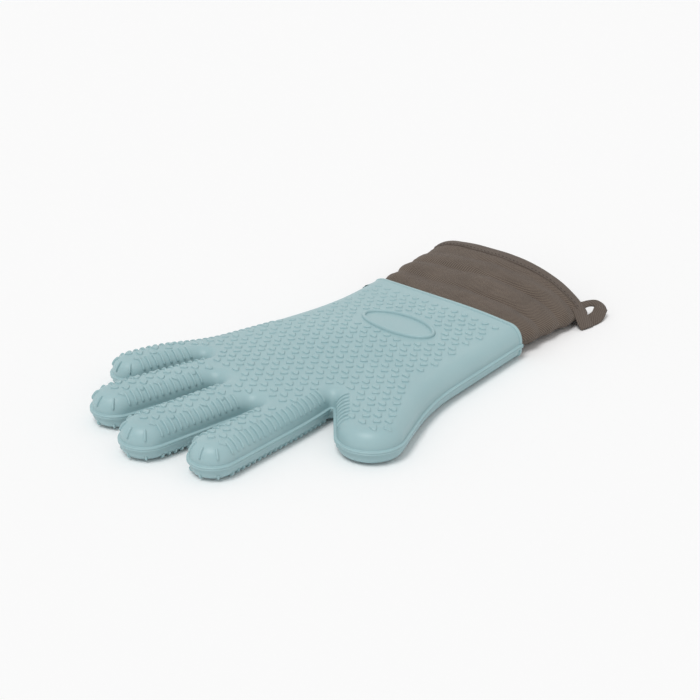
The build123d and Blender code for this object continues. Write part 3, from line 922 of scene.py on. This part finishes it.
def stitches(build, line, normals):
    """Short lengths of thread along a closed line."""
    closed = np.vstack([line, line[:1]])
    up = np.vstack([normals, normals[:1]])
    run = np.concatenate([[0], np.cumsum(np.linalg.norm(np.diff(closed, axis=0), axis=1))])
    ahead = 0.2

    def at(values, length):
        return np.array([np.interp(length, run, values[:, c]) for c in range(3)])

    s = 0.0
    while s + STITCH_LENGTH < run[-1]:
        rows = []
        for f in np.arange(STITCH_ROWS) / (STITCH_ROWS - 1):
            place = s + STITCH_LENGTH * f
            p, n, q = at(closed, place), at(up, place), at(closed, place + ahead)
            along = (q - p) / (np.linalg.norm(q - p) + 1e-9)
            n = n / np.linalg.norm(n)
            side = np.cross(along, n)
            bow = math.sin(math.pi * f)
            r = STITCH_THICK / 2 * (STITCH_END_SHARE + (1 - STITCH_END_SHARE) * bow)
            centre = p + n * (STITCH_RISE * bow - STITCH_SINK)
            rows.append([centre + r * (math.cos(a) * side + math.sin(a) * n)
                         for a in np.linspace(0, 2 * math.pi, STITCH_SIDES, endpoint=False)])
        build.grid(np.array(rows), closed=True)
        s += STITCH_LENGTH + STITCH_GAP


build = Build()
groove = rows[BINDING_GROOVE]
around = np.roll(groove, -1, 0) - np.roll(groove, 1, 0)
outward = np.column_stack([np.zeros(AROUND), -around[:, 2], around[:, 1]])
outward /= np.linalg.norm(outward, axis=1)[:, None]
stitches(build, groove, outward)
points, faces = build.all()
points[:, 2] = above_table(points[:, 2], STITCH_CLEAR)
piece("binding_stitches", points, faces, THREAD, "glove")


# Hanging loop: a tail of the binding tape, down from the corner, round, and back. Its places are measured
# from the hinge: across it, down the slope of the corner, and out from that slope.
hinge = next(j for j in frame["joints"] if j["name"] == "loop_swing")
HINGE = np.array(hinge["pos_m"]) * PER_METRE - ORIGIN
ACROSS = np.array([1.0, 0.0, 0.0])
DOWN = np.array([0.0, -1.0, -1.0]) / math.sqrt(2)
FACE = np.array([0.0, -1.0, 1.0]) / math.sqrt(2)
TAPE_THICK, TAPE_BOW, TAPE_CLEAR = 1.5, 0.25, 0.1
TAPE_ROWS, TAPE_EASE = 28, 6
TAPE_UNDERSIDE = 20
# Section of the tape, with a raised middle and folded edges, as (share of its width, share of its thickness)
TAPE_SECTION = [
    (0.0, 0.0), (0.0, 0.35), (0.02, 0.5), (0.10, 0.46), (0.2, 0.42), (0.35, 0.5), (0.5, 0.54), (0.65, 0.5),
    (0.8, 0.42), (0.90, 0.46), (0.98, 0.5), (1.0, 0.35), (1.0, 0.0), (1.0, -0.35), (0.97, -0.5),
    (0.75, -0.46), (0.5, -0.46), (0.25, -0.46), (0.03, -0.5), (0.0, -0.35)]
# Each run of the tape: its left edge, its right edge, and how far out it lies
LEG = ([(-8.8, -8.6), (-11.6, -1.5), (-13.0, 3.2), (-15.4, 13.7), (-14.6, 17.9)],
       [(-1.4, -8.9), (-2.2, -2.5), (-3.4, 2.1), (-4.0, 13.7), (-4.0, 18.6)],
       [-3.6, -1.0, 1.2, 1.5, 1.0])
FOOT = ([(-11.9, 9.7), (-4.4, 10.3), (3.1, 9.0), (6.8, 6.3)],
        [(-11.4, 17.3), (-1.4, 18.9), (7.2, 17.1), (14.6, 12.1)],
        [-0.4, 0.0, 0.4, 0.8])
RETURN = ([(14.4, 12.3), (15.8, 7.7), (12.5, 2.5), (5.8, 0.7), (-1.6, 0.1), (-5.4, -0.3)],
          [(6.6, 6.2), (6.6, 6.1), (5.2, 5.1), (2.6, 4.7), (-3.6, 5.1), (-6.4, 4.7)],
          [0.7, 0.2, -0.5, -0.7, -0.6, -0.4])


def eased(values):
    """The values spread over the tape's rows, with their corners rounded."""
    values = np.array(values, float)
    t = np.linspace(0, len(values) - 1, TAPE_ROWS)
    out = np.stack([np.interp(t, range(len(values)), column) for column in values.T], 1)
    for _ in range(TAPE_EASE):
        out[1:-1] = (out[:-2] + 2 * out[1:-1] + out[2:]) / 4
    return out


def tape_run(build, left, right, lifts):
    """Adds a closed length of tape between two edge lines, and gives its cloth coordinates."""
    left, right = eased(left), eased(right)
    lifts = eased([[v] for v in lifts])[:, 0]
    rows, flat = [], []
    run = 0.0
    for i in range(TAPE_ROWS):
        if i:
            run += np.linalg.norm((left[i] + right[i] - left[i - 1] - right[i - 1]) / 2)
        width = np.linalg.norm(right[i] - left[i])
        for f, z in TAPE_SECTION:
            p = left[i] * (1 - f) + right[i] * f
            out = lifts[i] + z * TAPE_THICK + TAPE_BOW * math.sin(math.pi * f)
            rows.append(HINGE + ACROSS * p[0] + DOWN * p[1] + FACE * out)
            flat.append((f * width + (TAPE_UNDERSIDE if z < 0 else 0), run))
    n = len(TAPE_SECTION)
    rows = np.array(rows).reshape(TAPE_ROWS, n, 3)
    rows[..., 2] = above_table(rows[..., 2], TAPE_CLEAR)
    first = build.count()
    last = first + (TAPE_ROWS - 1) * n
    build.grid(rows, closed=True)
    build.faces.append(tuple(range(first, first + n))[::-1])
    build.faces.append(tuple(range(last, last + n)))
    return np.array(flat)


build = Build()
uv = np.concatenate([tape_run(build, *run) for run in (LEG, FOOT, RETURN)])
points, faces = build.all()
tape = piece("loop_tape", points, faces, TAPE, None, uv=uv)
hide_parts("hanging_loop")
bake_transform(tape)


# Floor, light and camera, in metres and degrees. The camera is the photograph's, fitted to its grip pattern.
FLOOR_HALF, FLOOR_DROP = 4.0, 0.0002
WORLD_STRENGTH, BACKDROP_STRENGTH = 0.57, 1.0
KEY_SOURCE, KEY_STRENGTH, KEY_ANGLE = (-0.45, -0.15, 1.0), 1.35, 24
CAMERA_TURN, CAMERA_RISE, CAMERA_DISTANCE = -41.0, 25.1, 1.0272
CAMERA_REACH = 50
IMAGE_PIXELS, FOCAL_PIXELS, SENSOR_WIDTH = 700, 1700, 36.0
WHITE = (1.0, 1.0, 1.0, 1.0)


def stage_floor():
    mesh = bpy.data.meshes.new("floor")
    corners = [(-1, -1), (1, -1), (1, 1), (-1, 1)]
    mesh.from_pydata([(x * FLOOR_HALF, y * FLOOR_HALF, -FLOOR_DROP) for x, y in corners], [], [(0, 1, 2, 3)])
    obj = bpy.data.objects.new("floor", mesh)
    bpy.context.scene.collection.objects.link(obj)
    m, _, _ = new_material("floor", {"Base Color": WHITE, "Roughness": 0.9, "Specular IOR Level": 0.1})
    mesh.materials.append(m)


def world_light():
    """Even light all round, with a white backdrop for the camera and for reflections."""
    world = bpy.data.worlds.new("studio")
    bpy.context.scene.world = world
    world.use_nodes = True
    tree = world.node_tree
    link = tree.links.new
    light = tree.nodes["Background"]
    light.inputs["Color"].default_value = WHITE
    light.inputs["Strength"].default_value = WORLD_STRENGTH
    backdrop = node(tree, "ShaderNodeBackground", Color=WHITE, Strength=BACKDROP_STRENGTH)
    path = node(tree, "ShaderNodeLightPath")
    bounced = node(tree, "ShaderNodeMath", operation="MAXIMUM")
    link(path.outputs["Is Glossy Ray"], bounced.inputs[0])
    link(path.outputs["Is Transmission Ray"], bounced.inputs[1])
    seen = node(tree, "ShaderNodeMath", operation="MAXIMUM")
    link(path.outputs["Is Camera Ray"], seen.inputs[0])
    link(bounced.outputs["Value"], seen.inputs[1])
    mix = node(tree, "ShaderNodeMixShader")
    link(seen.outputs["Value"], mix.inputs["Fac"])
    link(light.outputs["Background"], mix.inputs[1])
    link(backdrop.outputs["Background"], mix.inputs[2])
    link(mix.outputs["Shader"], tree.nodes["World Output"].inputs["Surface"])


def key_light():
    """A soft, even light from far away, in the direction of its source."""
    data = bpy.data.lights.new("key", "SUN")
    data.energy = KEY_STRENGTH
    data.angle = math.radians(KEY_ANGLE)
    obj = bpy.data.objects.new("key", data)
    obj.rotation_euler = Vector(KEY_SOURCE).to_track_quat("Z", "Y").to_euler()
    bpy.context.scene.collection.objects.link(obj)


def photo_camera():
    turn, rise = math.radians(CAMERA_TURN), math.radians(CAMERA_RISE)
    aim = Vector((ORIGIN + (0, 0, BACK_HEIGHT)) * MM)
    back = Vector((math.sin(turn) * math.cos(rise), -math.cos(turn) * math.cos(rise), math.sin(rise)))
    data = bpy.data.cameras.new("camera")
    data.sensor_width = SENSOR_WIDTH
    data.sensor_fit = "HORIZONTAL"
    data.lens = SENSOR_WIDTH * FOCAL_PIXELS / IMAGE_PIXELS
    data.clip_end = CAMERA_REACH
    obj = bpy.data.objects.new("camera", data)
    obj.location = aim + back * CAMERA_DISTANCE
    obj.rotation_euler = (-back).to_track_quat("-Z", "Y").to_euler()
    bpy.context.scene.collection.objects.link(obj)
    bpy.context.scene.camera = obj


stage_floor()
world_light()
key_light()
photo_camera()
bpy.context.scene.view_settings.view_transform = "Standard"
